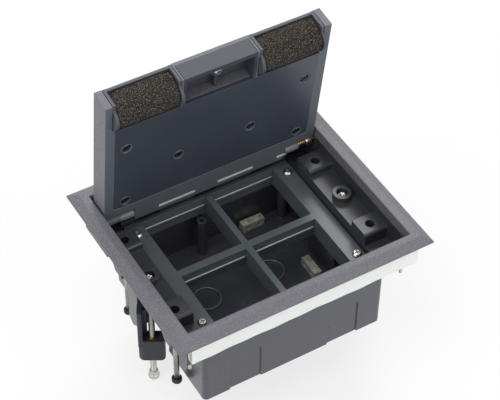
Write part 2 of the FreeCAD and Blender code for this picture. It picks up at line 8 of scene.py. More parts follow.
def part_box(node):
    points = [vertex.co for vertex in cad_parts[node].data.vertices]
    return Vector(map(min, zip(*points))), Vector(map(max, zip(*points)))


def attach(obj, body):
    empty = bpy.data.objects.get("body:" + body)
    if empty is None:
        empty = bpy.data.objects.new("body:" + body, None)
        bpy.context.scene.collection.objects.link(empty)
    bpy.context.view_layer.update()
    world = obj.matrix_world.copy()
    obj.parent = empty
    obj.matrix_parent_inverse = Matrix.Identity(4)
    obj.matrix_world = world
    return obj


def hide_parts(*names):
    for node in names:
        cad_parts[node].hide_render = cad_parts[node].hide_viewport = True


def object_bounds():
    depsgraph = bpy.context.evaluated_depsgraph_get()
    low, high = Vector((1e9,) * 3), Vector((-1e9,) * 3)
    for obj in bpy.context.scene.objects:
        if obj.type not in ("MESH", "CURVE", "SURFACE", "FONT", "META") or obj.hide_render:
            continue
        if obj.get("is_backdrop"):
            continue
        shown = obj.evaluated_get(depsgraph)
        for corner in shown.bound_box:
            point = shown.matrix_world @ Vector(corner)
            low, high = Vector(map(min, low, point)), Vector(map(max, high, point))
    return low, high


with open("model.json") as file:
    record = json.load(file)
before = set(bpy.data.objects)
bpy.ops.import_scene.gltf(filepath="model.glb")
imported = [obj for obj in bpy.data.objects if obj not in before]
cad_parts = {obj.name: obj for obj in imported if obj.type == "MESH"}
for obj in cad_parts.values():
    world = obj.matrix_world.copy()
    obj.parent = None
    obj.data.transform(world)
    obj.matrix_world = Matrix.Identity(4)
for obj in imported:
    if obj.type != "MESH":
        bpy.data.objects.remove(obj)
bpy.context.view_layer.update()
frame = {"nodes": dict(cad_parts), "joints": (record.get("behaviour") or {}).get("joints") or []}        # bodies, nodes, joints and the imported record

bl_info = {
    "name": "Floor socket box",
    "version": (1, 0, 0),
    "blender": (4, 5, 0),
    "location": "3D View > Sidebar > Floor box",
    "description": "Finishes, soft seals, threads and stage of a floor socket box with its lid open",
    "category": "Object",
}

MM = 0.001

# Places of the box's own features, in millimetres. The pieces that dress them are put there.
KNOCKOUT_PLACES = ((-23, 10), (23, 10), (-23, -28), (23, -28))
KNOCKOUT_RIM_HEIGHT = -68.8
# The rails are pale pieces that stand for the highlight along each bay's snap lip: painted highlight.
LIP_HIGHLIGHT_ROWS = (("front", -2.3), ("rear", 47.6))
LIP_HIGHLIGHT_COLUMNS = (("left", -24.45), ("right", 24.45))
LIP_HIGHLIGHT_HEIGHT = -28.6
LIP_HIGHLIGHT_LENGTH = 42.0
REST_PAD_ROW, REST_PAD_LEVEL = 48.9, -10.05
REST_PAD_WIDTH, REST_PAD_HEIGHT = 1.7, 0.8
REST_PADS = ((-23.7, 25.0), (17.4, 25.0), (50.6, 7.0))
HINGE_BARREL_PLACES = (("left", -58.0), ("right", 58.0))
HINGE_SLEEVE_LENGTH = 4.0
CLAMP_THREAD_RADIUS = 2.0
LEVELLING_THREAD_RADIUS = 1.75


# ---------------------------------------------------------------- colours and sizes
def linear(code):
    """Linear RGBA of an sRGB hex colour."""
    parts = [int(code[i:i + 2], 16) / 255 for i in (0, 2, 4)]
    return tuple(c / 12.92 if c <= 0.04045 else ((c + 0.055) / 1.055) ** 2.4 for c in parts) + (1.0,)


def colour_property(name, description, code):
    return bpy.props.FloatVectorProperty(name=name, description=description, subtype="COLOR", size=4,
                                         min=0.0, max=1.0, default=linear(code))


def length_property(name, description, millimetres):
    return bpy.props.FloatProperty(name=name, description=description, unit="LENGTH", min=0.0,
                                   default=millimetres * MM, precision=5)


class FloorBoxColours(bpy.types.PropertyGroup):
    trim: colour_property("Trim", "Powder coat of the floor trim and the lid's outside", "6B6A71")
    # The lid inside colour is darker than the trim: painted shade on the inner faces of the lid's casting.
    inside: colour_property("Lid inside", "Inner faces of the lid's casting", "565B62")
    housing: colour_property("Housing", "Moulded upper housing", "36373B")
    box: colour_property("Back box", "Moulded lower wiring box", "44454D")
    plate: colour_property("Module plate", "Moulded plate that holds the sockets", "545B5F")
    panel: colour_property("Lid panel", "Moulded panel on the inside of the lid", "3A3F49")
    grip: colour_property("Grip", "Moulded grip between the cable outlets", "3D424A")
    flap: colour_property("Outlet flap", "Moulded cable outlet flaps", "4B5058")
    claw: colour_property("Claw", "Moulded clamp claws", "2F3239")
    foot: colour_property("Foot", "Moulded levelling feet", "17171A")
    foam: colour_property("Outlet foam", "Open-cell foam in the cable outlets", "37332F")
    strip: colour_property("Seal strip", "Closed-cell foam strip under the trim", "F1F4F1")
    steel: colour_property("Plated steel", "Zinc or nickel plated screws", "C6C3BC")
    brass: colour_property("Brass", "Brass pins and inserts", "B99A62")
    pad: colour_property("Rest pad", "Pale pads on the lid's rear edge", "B9BABC")
    tin: colour_property("Tinned brass", "Tin-plated earth terminals", "D9D7CC")


class FloorBoxSizes(bpy.types.PropertyGroup):
    clamp_pitch: length_property("Clamp thread pitch", "Pitch of the clamp screws", 0.7)
    levelling_pitch: length_property("Levelling thread pitch", "Pitch of the levelling screws", 0.6)
    thread_depth: length_property("Thread depth", "Height of a thread's crest above its root", 0.36)
    foam_voxel: length_property("Foam mesh size", "Edge length of the foam's mesh", 0.8)
    foam_crown: length_property("Foam crown", "How far the foam swells between a flap's arms", 0.9)
    strip_wall: length_property("Strip wall", "Wall of the hollow foam strip", 1.0)


# ---------------------------------------------------------------- material building
def add(tree, kind, settings=None, inputs=None):
    """Add a node. Inputs are constants, or the sockets they are linked from."""
    node = tree.nodes.new(kind)
    for name, value in (settings or {}).items():
        setattr(node, name, value)
    for name, value in (inputs or {}).items():
        if isinstance(value, bpy.types.NodeSocket):
            tree.links.new(value, node.inputs[name])
        else:
            node.inputs[name].default_value = value
    return node


def blank_material(name):
    """A material with only its output and a shader that reads the object's own space."""
    material = bpy.data.materials.new(name)
    material.use_nodes = True
    tree = material.node_tree
    tree.nodes.clear()
    shader = add(tree, "ShaderNodeBsdfPrincipled")
    output = add(tree, "ShaderNodeOutputMaterial")
    tree.links.new(shader.outputs["BSDF"], output.inputs["Surface"])
    place = add(tree, "ShaderNodeTexCoord").outputs["Object"]
    return material, tree, shader, place


def ramp(tree, factor, stops):
    """A colour ramp between (position, colour) stops."""
    node = add(tree, "ShaderNodeValToRGB", inputs={"Fac": factor})
    band = node.color_ramp
    while len(band.elements) < len(stops):
        band.elements.new(0.5)
    for element, (position, colour) in zip(band.elements, stops):
        element.position = position
        element.color = colour
    return node.outputs["Color"]


def noise(tree, place, feature_mm, detail=2.0, roughness=0.5):
    """Noise whose features are about that many millimetres across."""
    return add(tree, "ShaderNodeTexNoise", inputs={"Vector": place, "Scale": 1 / (feature_mm * MM),
                                                   "Detail": detail, "Roughness": roughness}).outputs["Fac"]


def mixed(tree, factor, first, second, way="MIX"):
    node = add(tree, "ShaderNodeMix", {"data_type": "RGBA", "blend_type": way},
               {0: factor, 6: first, 7: second})
    return node.outputs[2]


def maths(tree, operation, first, second=0.5, clamp=False):
    node = add(tree, "ShaderNodeMath", {"operation": operation, "use_clamp": clamp}, {0: first, 1: second})
    return node.outputs[0]


def shaded(colour, factor):
    return tuple(min(1.0, c * factor) for c in colour[:3]) + (1.0,)


def edge_mask(tree, radius_mm):
    """1 on an edge that the finish has softened, 0 on a flat face, and the softened normal."""
    soft = add(tree, "ShaderNodeBevel", {"samples": 8}, {"Radius": radius_mm * MM}).outputs["Normal"]
    flat = add(tree, "ShaderNodeNewGeometry").outputs["Normal"]
    same = add(tree, "ShaderNodeVectorMath", {"operation": "DOT_PRODUCT"}, {0: soft, 1: flat})
    edge = maths(tree, "SUBTRACT", 1.0, same.outputs["Value"])
    return maths(tree, "MULTIPLY", edge, 3.5, clamp=True), soft


def powder_coat(name, colour, roughness, soft_mm, inner_shade_colour=None, inner_way=None):
    """Powder-coated zinc casting: a matt coat with fine light and dark grains baked into it.
    The faces that look along inner_way get a darker colour, a painted shade, and all softened edges get a
    painted highlight."""
    material, tree, shader, place = blank_material(name)
    edge, soft = edge_mask(tree, soft_mm)
    # Grains of a textured powder are about 0.2 mm; they are drawn at 0.55 mm, the least that shows.
    grain = noise(tree, place, 0.55, 3.0, 0.6)
    speckle = ramp(tree, grain, [(0.36, shaded(colour, 0.72)), (0.5, colour), (0.6, shaded(colour, 1.12)),
                                 (0.70, shaded(colour, 2.2))])
    cloud = noise(tree, place, 28.0, 2.0)
    toned = mixed(tree, 1.0, speckle, ramp(tree, cloud, [(0.3, (0.93, 0.93, 0.94, 1)), (0.7, (1, 1, 1, 1))]),
                  "MULTIPLY")
    # Softened edges are mixed towards a lighter colour: a painted highlight.
    coat = mixed(tree, maths(tree, "MULTIPLY", edge, 0.35), toned, shaded(colour, 1.6))
    if inner_way is not None:
        normal = add(tree, "ShaderNodeTexCoord").outputs["Normal"]
        facing = add(tree, "ShaderNodeVectorMath", {"operation": "DOT_PRODUCT"}, {0: normal, 1: inner_way})
        inside = maths(tree, "GREATER_THAN", facing.outputs["Value"], 0.5)
        # Inner faces get the darker inner colour, a painted shade, and their edges a lighter one, a painted
        # highlight.
        dark = mixed(tree, maths(tree, "MULTIPLY", grain, 0.3), inner_shade_colour, shaded(inner_shade_colour, 1.3))
        coat = mixed(tree, inside, coat, mixed(tree, edge, dark, shaded(inner_shade_colour, 2.4)))
    tree.links.new(coat, shader.inputs["Base Color"])
    bump = add(tree, "ShaderNodeBump", inputs={"Strength": 0.35, "Distance": 0.00012, "Height": grain,
                                               "Normal": soft})
    tree.links.new(bump.outputs["Normal"], shader.inputs["Normal"])
    shader.inputs["Roughness"].default_value = roughness
    shader.inputs["Metallic"].default_value = 0.0
    shader.inputs["IOR"].default_value = 1.5
    return material


def moulded_plastic(name, colour, roughness, edge_highlight=1.9, grain_mm=0.5, specular=0.35):
    """Injection-moulded plastic: a spark-eroded mould leaves a fine even grain; softened edges are painted
    lighter, a painted highlight.
    """
    material, tree, shader, place = blank_material(name)
    edge, soft = edge_mask(tree, 0.4)
    grain = noise(tree, place, grain_mm, 2.0, 0.55)
    flow = noise(tree, place, 17.0, 3.0, 0.55)
    base = mixed(tree, flow, shaded(colour, 0.88), shaded(colour, 1.12))
    dusted = mixed(tree, maths(tree, "MULTIPLY", grain, 0.28), base, shaded(colour, 1.35))
    # Softened edges are mixed towards colour times edge_highlight: a painted highlight.
    tree.links.new(mixed(tree, maths(tree, "MULTIPLY", edge, 0.6), dusted, shaded(colour, edge_highlight)),
                   shader.inputs["Base Color"])
    rough = maths(tree, "ADD", maths(tree, "MULTIPLY", flow, 0.12), roughness - 0.06)
    tree.links.new(rough, shader.inputs["Roughness"])
    bump = add(tree, "ShaderNodeBump", inputs={"Strength": 0.22, "Distance": 0.00008, "Height": grain,
                                               "Normal": soft})
    tree.links.new(bump.outputs["Normal"], shader.inputs["Normal"])
    shader.inputs["IOR"].default_value = 1.5
    shader.inputs["Specular IOR Level"].default_value = specular
    return material


def plated_metal(name, colour, roughness, stain, metallic=1.0):
    """Plated or turned metal: faint turning lines round it and a slightly uneven film."""
    material, tree, shader, place = blank_material(name)
    soft = edge_mask(tree, 0.2)[1]
    film = noise(tree, place, 1.8, 3.0, 0.6)
    tree.links.new(mixed(tree, film, shaded(colour, stain), shaded(colour, 1.1)), shader.inputs["Base Color"])
    rough = maths(tree, "ADD", maths(tree, "MULTIPLY", film, 0.2), roughness - 0.1)
    tree.links.new(rough, shader.inputs["Roughness"])
    shader.inputs["Metallic"].default_value = metallic
    # Turning marks stand about 0.1 mm apart; they are drawn at 0.35 mm so that they show.
    lines = add(tree, "ShaderNodeTexWave", {"bands_direction": "Z"},
                {"Vector": place, "Scale": 1 / (0.35 * MM * 6.28), "Distortion": 0.6}).outputs["Fac"]
    bump = add(tree, "ShaderNodeBump", inputs={"Strength": 0.12, "Distance": 0.00005, "Height": lines,
                                               "Normal": soft})
    tree.links.new(bump.outputs["Normal"], shader.inputs["Normal"])
    return material


def open_cell_foam(name, colour):
    """Open-cell polyurethane foam: torn cells, painted lighter at their walls and darker in their hollows:
    painted highlight and painted shade.
    """
    material, tree, shader, place = blank_material(name)
    # A coarse sealing foam has cells of about 0.8 mm; their torn rims catch the light as pale dots.
    cells = add(tree, "ShaderNodeTexVoronoi", {"feature": "F1"},
                {"Vector": place, "Scale": 1 / (0.8 * MM), "Randomness": 1.0}).outputs["Distance"]
    grit = noise(tree, place, 0.5, 2.0, 0.7)
    # Near each cell point the colour is painted lighter, a painted highlight; far from it darker, a painted
    # shade.
    rims = ramp(tree, cells, [(0.1, shaded(colour, 3.6)), (0.28, shaded(colour, 1.3)),
                              (0.62, shaded(colour, 0.35))])
    # The pale dots are painted highlights.
    dots = ramp(tree, grit, [(0.56, (0, 0, 0, 1)), (0.66, (1, 1, 1, 1))])
    patches = noise(tree, place, 6.0, 2.0)
    toned = mixed(tree, maths(tree, "MULTIPLY", patches, 0.5), rims, shaded(colour, 0.7))
    tree.links.new(mixed(tree, maths(tree, "MULTIPLY", dots, 0.8), toned, shaded(colour, 9.0)),
                   shader.inputs["Base Color"])
    height = maths(tree, "SUBTRACT", grit, maths(tree, "MULTIPLY", cells, 1.0))
    bump = add(tree, "ShaderNodeBump", inputs={"Strength": 0.9, "Distance": 0.0005, "Height": height})
    tree.links.new(bump.outputs["Normal"], shader.inputs["Normal"])
    shader.inputs["Roughness"].default_value = 0.95
    shader.inputs["Specular IOR Level"].default_value = 0.15
    return material


def closed_cell_foam(name, colour):
    """Extruded polyethylene foam: a pale satin skin with fine closed cells and slight creases."""
    material, tree, shader, place = blank_material(name)
    cells = add(tree, "ShaderNodeTexVoronoi", {"feature": "F1"},
                {"Vector": place, "Scale": 1 / (0.8 * MM), "Randomness": 1.0}).outputs["Distance"]
    shade = noise(tree, place, 9.0, 3.0)
    base = mixed(tree, maths(tree, "MULTIPLY", cells, 0.5), colour, shaded(colour, 0.86))
    tree.links.new(mixed(tree, maths(tree, "MULTIPLY", shade, 0.35), base, shaded(colour, 0.8)),
                   shader.inputs["Base Color"])
    bump = add(tree, "ShaderNodeBump", inputs={"Strength": 0.3, "Distance": 0.0002, "Height": cells})
    tree.links.new(bump.outputs["Normal"], shader.inputs["Normal"])
    shader.inputs["Roughness"].default_value = 0.6
    shader.inputs["Subsurface Weight"].default_value = 0.15
    shader.inputs["Subsurface Radius"].default_value = (0.002, 0.002, 0.002)
    shader.inputs["Subsurface Scale"].default_value = 0.3
    return material


# ---------------------------------------------------------------- the lid's own frame
LID = next(joint for joint in frame["joints"] if joint["name"] == "lid_hinge")
LID_TURN = Matrix.Rotation(math.radians(LID["range_deg"][0]), 3, "X")
HINGE = Vector(LID["pos_m"])


def opened_direction(direction):
    """A direction on the closed lid, as it stands on the open lid."""
    return LID_TURN @ Vector(direction)


def opened_place(x, y, z):
    """A place on the closed lid in millimetres, as it stands on the open lid."""
    return HINGE + LID_TURN @ (Vector((x, y, z)) * MM - HINGE)


# ---------------------------------------------------------------- mesh helpers
def only(obj):
    """Make obj the one selected and active object."""
    if bpy.context.object is not None and bpy.context.object.mode != "OBJECT":
        bpy.ops.object.mode_set(mode="OBJECT")
    bpy.ops.object.select_all(action="DESELECT")
    obj.select_set(True)
    bpy.context.view_layer.objects.active = obj


def finish_cad(nodes, material):
    """Put a finish on CAD nodes whose shape is right."""
    for node in nodes:
        mesh = frame["nodes"][node].data
        if not mesh.materials:
            mesh.materials.append(material)
        for index in range(len(mesh.materials)):
            mesh.materials[index] = material


def smooth_cad(nodes):
    """Shade turned CAD nodes smoothly; the mesh's points stay as they are."""
    for node in nodes:
        only(frame["nodes"][node])
        bpy.ops.object.shade_smooth_by_angle(angle=math.radians(35))


def merged_copy(node, name):
    """A new piece that starts as a CAD node's shape with its doubles merged."""
    piece = frame["nodes"][node].copy()
    piece.data = frame["nodes"][node].data.copy()
    piece.parent = None
    for key in list(piece.keys()):
        del piece[key]
    piece.name = name
    piece.data.name = name
    bpy.context.scene.collection.objects.link(piece)
    piece.matrix_world = Matrix.Identity(4)
    piece.data.materials.clear()
    only(piece)
    bpy.ops.object.mode_set(mode="EDIT")
    bpy.ops.mesh.select_all(action="SELECT")
    bpy.ops.mesh.remove_doubles(threshold=0.00001)
    bpy.ops.mesh.normals_make_consistent(inside=False)
    bpy.ops.object.mode_set(mode="OBJECT")
    return piece


def select_points(piece, test):
    """Select the vertices that pass a test of their place, and enter edit mode."""
    only(piece)
    bpy.ops.object.mode_set(mode="EDIT")
    bpy.ops.mesh.select_mode(type="VERT")
    bpy.ops.mesh.select_all(action="DESELECT")
    bpy.ops.object.mode_set(mode="OBJECT")
    for vertex in piece.data.vertices:
        vertex.select = bool(test(vertex.co))
    bpy.ops.object.mode_set(mode="EDIT")


def apply_modifier(piece, kind, **settings):
    """Add a modifier with its settings and apply it."""
    only(piece)
    modifier = piece.modifiers.new(kind.title(), kind)
    for name, value in settings.items():
        setattr(modifier, name, value)
    bpy.ops.object.modifier_apply(modifier=modifier.name)


def place_in_mesh(piece):
    only(piece)
    bpy.ops.object.transform_apply(location=True, rotation=True, scale=True)


def clouds(name, size_mm, depth=2):
    texture = bpy.data.textures.new(name, "CLOUDS")
    texture.noise_scale = size_mm * MM
    texture.noise_depth = depth
    return texture


# ---------------------------------------------------------------- pieces
def threaded(node, name, body, crest, pitch, top, bottom):
    """A turned screw with a real helical thread in place of the CAD node's plain shank."""
    sizes = bpy.context.scene.floor_box_sizes
    low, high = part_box(node)
    x, y = (low.x + high.x) / 2, (low.y + high.y) / 2
    root = crest - sizes.thread_depth
    screw = merged_copy(node, name)
    select_points(screw, lambda p: abs(math.hypot(p.x - x, p.y - y) - crest) < 0.00006
                  and bottom - 0.0006 < p.z < top + 0.0006)
    bpy.ops.transform.resize(value=(root / crest, root / crest, 1.0),
                             center_override=(x, y, (top + bottom) / 2))
    bpy.ops.object.mode_set(mode="OBJECT")
    bpy.ops.object.select_all(action="DESELECT")
    turns = int((top - bottom) / pitch)
    bpy.ops.mesh.primitive_circle_add(vertices=4, radius=1.0, fill_type="NOTHING",
                                      location=(crest - 0.5 * sizes.thread_depth - 0.00005, 0, 0),
                                      rotation=(math.pi / 2, 0, 0))
    ridge = bpy.context.object
    ridge.scale = (0.5 * sizes.thread_depth + 0.00005, pitch * 0.48, 1.0)
    place_in_mesh(ridge)
    apply_modifier(ridge, "SCREW", axis="Z", screw_offset=pitch, iterations=turns, steps=18, render_steps=18,
                   use_merge_vertices=False)
    only(ridge)
    bpy.ops.object.mode_set(mode="EDIT")
    bpy.ops.mesh.select_all(action="DESELECT")
    bpy.ops.mesh.select_mode(type="EDGE")
    bpy.ops.mesh.select_non_manifold(extend=False)
    bpy.ops.mesh.fill()
    bpy.ops.mesh.select_all(action="SELECT")
    bpy.ops.mesh.normals_make_consistent(inside=False)
    bpy.ops.object.mode_set(mode="OBJECT")
    ridge.location = (x, y, bottom + 0.5 * (top - bottom - turns * pitch))
    place_in_mesh(ridge)
    only(screw)
    ridge.select_set(True)
    bpy.ops.object.join()
    bpy.ops.object.shade_smooth_by_angle(angle=math.radians(40))
    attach(screw, body)
    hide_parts(node)
    return screw


# Outline of the foam on the closed lid, (y, z) in millimetres, from the lid's edge round to its skin.
FOAM_OUTLINE = [(-58.9, 1.1), (-59.2, -2.5), (-57.8, -8.2), (-53.4, -12.7), (-50.5, -14.1), (-45.0, -13.7),
                (-41.4, -10.6), (-40.5, -6.7), (-41.9, -2.3), (-46.0, 0.8), (-50.4, 1.2)]


def outlet_foam(side, material):
    """The foam pad that closes a cable outlet: a flat top, a soft edge and a full front face."""
    sizes = bpy.context.scene.floor_box_sizes
    node = "outlet_foam_" + side
    low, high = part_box(node)
    bpy.ops.object.select_all(action="DESELECT")
    bpy.ops.mesh.primitive_circle_add(vertices=len(FOAM_OUTLINE), radius=1.0, fill_type="NGON",
                                      location=(0, 0, 0))
    foam = bpy.context.object
    foam.name = "outlet_foam_pad_" + side
    foam.data.name = foam.name
    for vertex, (y, z) in zip(foam.data.vertices, FOAM_OUTLINE):
        corner = opened_place(0.0, y, z)
        vertex.co = (low.x, corner.y, corner.z)
    only(foam)
    bpy.ops.object.mode_set(mode="EDIT")
    bpy.ops.mesh.select_all(action="SELECT")
    bpy.ops.mesh.extrude_region_move(TRANSFORM_OT_translate={"value": (high.x - low.x, 0, 0)})
    bpy.ops.mesh.select_all(action="SELECT")
    bpy.ops.mesh.normals_make_consistent(inside=False)
    bpy.ops.object.mode_set(mode="OBJECT")
    apply_modifier(foam, "REMESH", mode="VOXEL", voxel_size=sizes.foam_voxel)
    apply_modifier(foam, "SMOOTH", factor=0.5, iterations=4)
    middle = (low.x + high.x) / 2
    half = (high.x - low.x) / 2
    for vertex in foam.data.vertices:
        across = min(1.0, abs(vertex.co.x - middle) / half)
        crown = sizes.foam_crown * (1.0 - across ** 6) - 0.0005
        vertex.co += Vector((0.0, vertex.normal.y, vertex.normal.z)) * crown
    apply_modifier(foam, "DISPLACE", texture=clouds("foam_cells_" + side, 1.1, 3), texture_coords="LOCAL",
                   strength=0.0012, mid_level=0.5)
    only(foam)
    bpy.ops.object.shade_smooth()
    foam.data.materials.append(material)
    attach(foam, "outlet_flap_" + side)
    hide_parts(node)
    return foam


def turned_piece(name, profile, x, y):
    """A piece turned round an upright axis from (radius, height) points in millimetres."""
    bpy.ops.object.select_all(action="DESELECT")
    bpy.ops.mesh.primitive_cylinder_add(vertices=48, radius=profile[0][0] * MM, depth=0.2 * MM,
                                        location=(x, y, profile[0][1] * MM - 0.1 * MM))
    piece = bpy.context.object
    piece.name = name
    piece.data.name = name
    place_in_mesh(piece)
    base = profile[0][1] * MM - 0.2 * MM
    for vertex in piece.data.vertices:
        if vertex.co.z < base + 0.05 * MM:
            vertex.co.z = profile[0][1] * MM - 0.01 * MM
    for radius, height in profile[1:]:
        bpy.ops.object.mode_set(mode="EDIT")
        bpy.ops.mesh.select_mode(type="FACE")
        bpy.ops.mesh.select_all(action="DESELECT")
        bpy.ops.object.mode_set(mode="OBJECT")
        face = min(piece.data.polygons,
                   key=lambda f: (round(f.center.z, 7), f.area if f.normal.z < -0.5 else 1.0))
        face.select = True
        old_radius = (piece.data.vertices[face.vertices[0]].co.xy - Vector((x, y))).length
        old_height = face.center.z
        bpy.ops.object.mode_set(mode="EDIT")
        bpy.ops.mesh.extrude_region_move(TRANSFORM_OT_translate={"value": (0, 0, height * MM - old_height)})
        scale = radius * MM / old_radius
        bpy.ops.transform.resize(value=(scale, scale, 1.0), center_override=(x, y, height * MM))
    bpy.ops.object.mode_set(mode="OBJECT")
    only(piece)
    bpy.ops.object.shade_smooth_by_angle(angle=math.radians(35))
    return piece


def end_nut(side, material):
    """The stop nut on a clamp screw's tip: a neck that widens to a rounded foot."""
    node = "clamp_end_nut_" + side
    low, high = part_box(node)
    top = high.z / MM
    profile = [(2.5, top), (2.7, top - 0.3), (2.7, top - 2.6), (2.9, top - 3.1), (3.4, top - 3.6),
               (3.6, top - 4.2), (3.6, top - 5.4), (3.3, top - 6.1), (2.4, top - 6.6), (1.2, top - 6.8)]
    nut = turned_piece("clamp_foot_nut_" + side, profile, (low.x + high.x) / 2, (low.y + high.y) / 2)
    nut.data.materials.append(material)
    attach(nut, "clamp_screw_" + side)
    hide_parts(node)


def hinge_sleeve(material):
    """The bright steel sleeve at the outer end of the right hinge barrel."""
    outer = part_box("lid_cover")[1].x - 1.0 * MM
    bpy.ops.object.select_all(action="DESELECT")
    bpy.ops.mesh.primitive_cylinder_add(vertices=40, radius=3.3 * MM, depth=HINGE_SLEEVE_LENGTH * MM,
                                        location=(outer - HINGE_SLEEVE_LENGTH / 2 * MM, HINGE.y, HINGE.z),
                                        rotation=(0, math.pi / 2, 0))
    sleeve = bpy.context.object
    sleeve.name = "hinge_pin_sleeve"
    sleeve.data.name = sleeve.name
    place_in_mesh(sleeve)
    apply_modifier(sleeve, "BEVEL", width=0.5 * MM, segments=3, limit_method="ANGLE")
    only(sleeve)
    bpy.ops.object.shade_smooth_by_angle(angle=math.radians(35))
    sleeve.data.materials.append(material)
    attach(sleeve, "lid")


def lip_highlight_rail(name, x, y, material):
    """A rounded rail under a bay's rear edge that carries a painted highlight along the snap lip."""
    bpy.ops.object.select_all(action="DESELECT")
    bpy.ops.mesh.primitive_cylinder_add(vertices=20, radius=0.5 * MM, depth=LIP_HIGHLIGHT_LENGTH * MM,
                                        location=(x * MM, y * MM, LIP_HIGHLIGHT_HEIGHT * MM),
                                        rotation=(0, math.pi / 2, 0))
    rail = bpy.context.object
    rail.name = name
    rail.data.name = name
    place_in_mesh(rail)
    apply_modifier(rail, "BEVEL", width=0.2 * MM, segments=2, limit_method="ANGLE")
    only(rail)
    bpy.ops.object.shade_smooth_by_angle(angle=math.radians(40))
    rail.data.materials.append(material)
    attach(rail, "root")


def knockout_ring(number, x, y, height, material):
    """A bead round a cable knockout in the box floor, which carries a painted highlight."""
    bpy.ops.object.select_all(action="DESELECT")
    bpy.ops.mesh.primitive_torus_add(major_radius=8.8 * MM, minor_radius=0.55 * MM, major_segments=56,
                                     minor_segments=12, location=(x * MM, y * MM, height * MM))
    ring = bpy.context.object
    ring.name = "knockout_highlight_bead_%d" % number
    ring.data.name = ring.name
    place_in_mesh(ring)
    only(ring)
    bpy.ops.object.shade_smooth()
    ring.data.materials.append(material)
    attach(ring, "root")


def screw_seat_rings(material):
    """A raised ring round the dished seat of each screw in the lid's panel."""
    islands = merged_copy("lid_panel_screws", "screw_islands")
    only(islands)
    bpy.ops.object.mode_set(mode="EDIT")
    bpy.ops.mesh.select_all(action="SELECT")
    bpy.ops.mesh.separate(type="LOOSE")
    bpy.ops.object.mode_set(mode="OBJECT")
    screws = list(bpy.context.selected_objects)
    heads = {}
    for screw in screws:
        points = [vertex.co for vertex in screw.data.vertices]
        centre = sum(points, Vector()) / len(points)
        heads.setdefault((round(centre.x, 3), round(centre.z, 3)), points)
    way = opened_direction((0, 0, -1))
    for number, points in enumerate(heads.values()):
        middle = sum(points, Vector()) / len(points)
        top = max(point.dot(way) for point in points)
        place = middle + way * (top - middle.dot(way))
        bpy.ops.object.select_all(action="DESELECT")
        bpy.ops.mesh.primitive_torus_add(major_radius=3.3 * MM, minor_radius=0.5 * MM, major_segments=40,
                                         minor_segments=10, location=place,
                                         rotation=way.to_track_quat("Z", "Y").to_euler())
        ring = bpy.context.object
        ring.name = "screw_seat_ring_%d" % (number + 1)
        ring.data.name = ring.name
        place_in_mesh(ring)
        only(ring)
        bpy.ops.object.shade_smooth()
        ring.data.materials.append(material)
        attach(ring, "lid")
    for screw in screws:
        bpy.data.objects.remove(screw)


def hinge_barrel(side, x, material):
    """The smooth round skin of a hinge barrel between its web and its window."""
    bpy.ops.object.select_all(action="DESELECT")
    bpy.ops.mesh.primitive_cylinder_add(vertices=44, radius=3.2 * MM, depth=9.4 * MM,
                                        location=(x * MM, HINGE.y, HINGE.z), rotation=(0, math.pi / 2, 0))
    barrel = bpy.context.object
    barrel.name = "hinge_barrel_skin_" + side
    barrel.data.name = barrel.name
    place_in_mesh(barrel)
    apply_modifier(barrel, "BEVEL", width=0.5 * MM, segments=3, limit_method="ANGLE")
    only(barrel)
    bpy.ops.object.shade_smooth_by_angle(angle=math.radians(35))
    barrel.data.materials.append(material)
    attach(barrel, "lid")


def lid_rest_pad(name, x, length, material):
    """A low pale pad on the inner face of the lid's rear edge."""
    bpy.ops.object.select_all(action="DESELECT")
    bpy.ops.mesh.primitive_cube_add(size=1.0, location=(0, 0, 0))
    pad = bpy.context.object
    pad.name = name
    pad.data.name = name
    for vertex in pad.data.vertices:
        vertex.co = opened_place(x + vertex.co.x * length, REST_PAD_ROW + vertex.co.y * REST_PAD_WIDTH,
                                 REST_PAD_LEVEL + vertex.co.z * REST_PAD_HEIGHT)
    apply_modifier(pad, "BEVEL", width=0.25 * MM, segments=2, limit_method="ANGLE")
    only(pad)
    bpy.ops.object.shade_smooth_by_angle(angle=math.radians(40))
    pad.data.materials.append(material)
    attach(pad, "lid")


